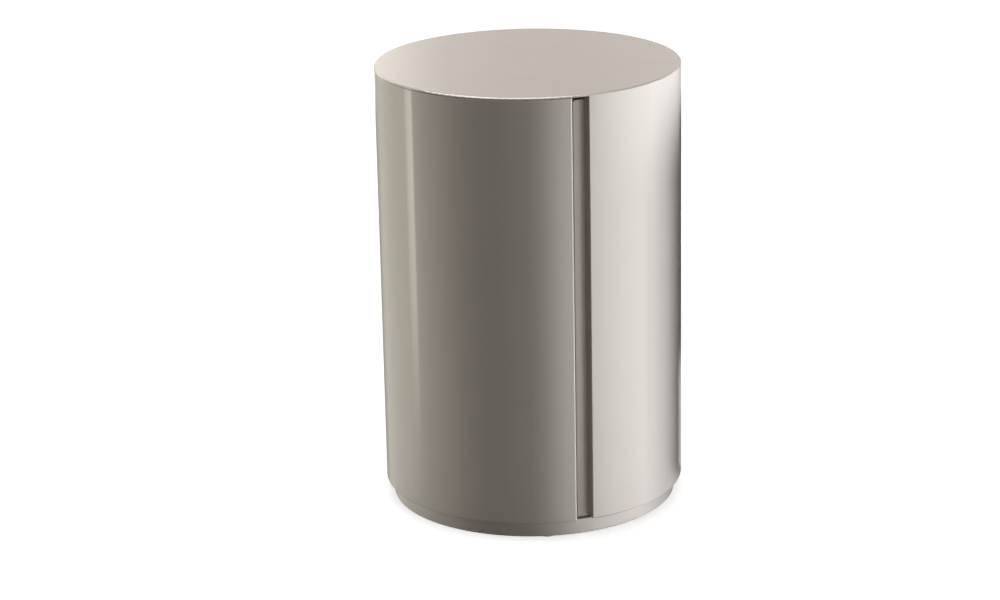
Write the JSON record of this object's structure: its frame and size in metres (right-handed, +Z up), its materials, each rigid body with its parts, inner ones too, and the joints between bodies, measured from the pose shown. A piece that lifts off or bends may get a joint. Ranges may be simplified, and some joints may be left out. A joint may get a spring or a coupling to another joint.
{
  "type": "drum side table",
  "caption": "Round lacquered drum side table on a recessed plinth, with a full-height curved door hung on hidden pivots and opened by a vertical finger groove, and a shelf inside.",
  "frame": {"origin": "on the floor, under the middle of the drum", "axes": "+Z up along the drum's axis, -Y out of the middle of the door, +X towards the finger groove"},
  "size_m": [0.4, 0.4, 0.59],
  "materials": {
    "lacquer": "glossy greige lacquer",
    "inner_lacquer": "matt greige lacquer",
    "beech": "raw beech",
    "zinc_steel": "zinc plated",
    "hinge_steel": "brushed",
    "bush_brass": "turned",
    "nickel": "nickel plated",
    "nylon": "moulded",
    "silicone": "clear, soft"
  },
  "bodies": {
    "carcass": {"top_plate": "lacquer", "right_side_panel": "lacquer", "left_side_panel": "lacquer", "plinth_ring": "lacquer", "inner_top": "inner_lacquer", "bottom_panel": "inner_lacquer", "shelf": "inner_lacquer", "pull_jamb": "inner_lacquer", "back_spline": "beech", "upper_dowels": "beech", "lower_dowels": "beech", "jamb_screws": "zinc_steel", "plinth_screws": "zinc_steel", "upper_arm_screws": "zinc_steel", "lower_arm_screws": "zinc_steel", "shelf_pins": "zinc_steel", "upper_hinge_arm": "hinge_steel", "upper_hinge_pin": "hinge_steel", "lower_hinge_arm": "hinge_steel", "lower_hinge_pin": "hinge_steel", "catch_magnets": "nickel", "floor_glides": "nylon", "thrust_washer": "nylon"},
    "door": {"door_panel": "lacquer", "upper_hinge_bush": "bush_brass", "lower_hinge_bush": "bush_brass", "strike_plates": "hinge_steel", "door_bumpers": "silicone"}
  },
  "joints": [
    {"name": "door_hinge", "type": "hinge", "parent": "carcass", "child": "door", "pos_m": [-0.15216, -0.1171, 0.3], "axis": [0, 0, -1], "range_deg": [0, 105]}
  ]
}
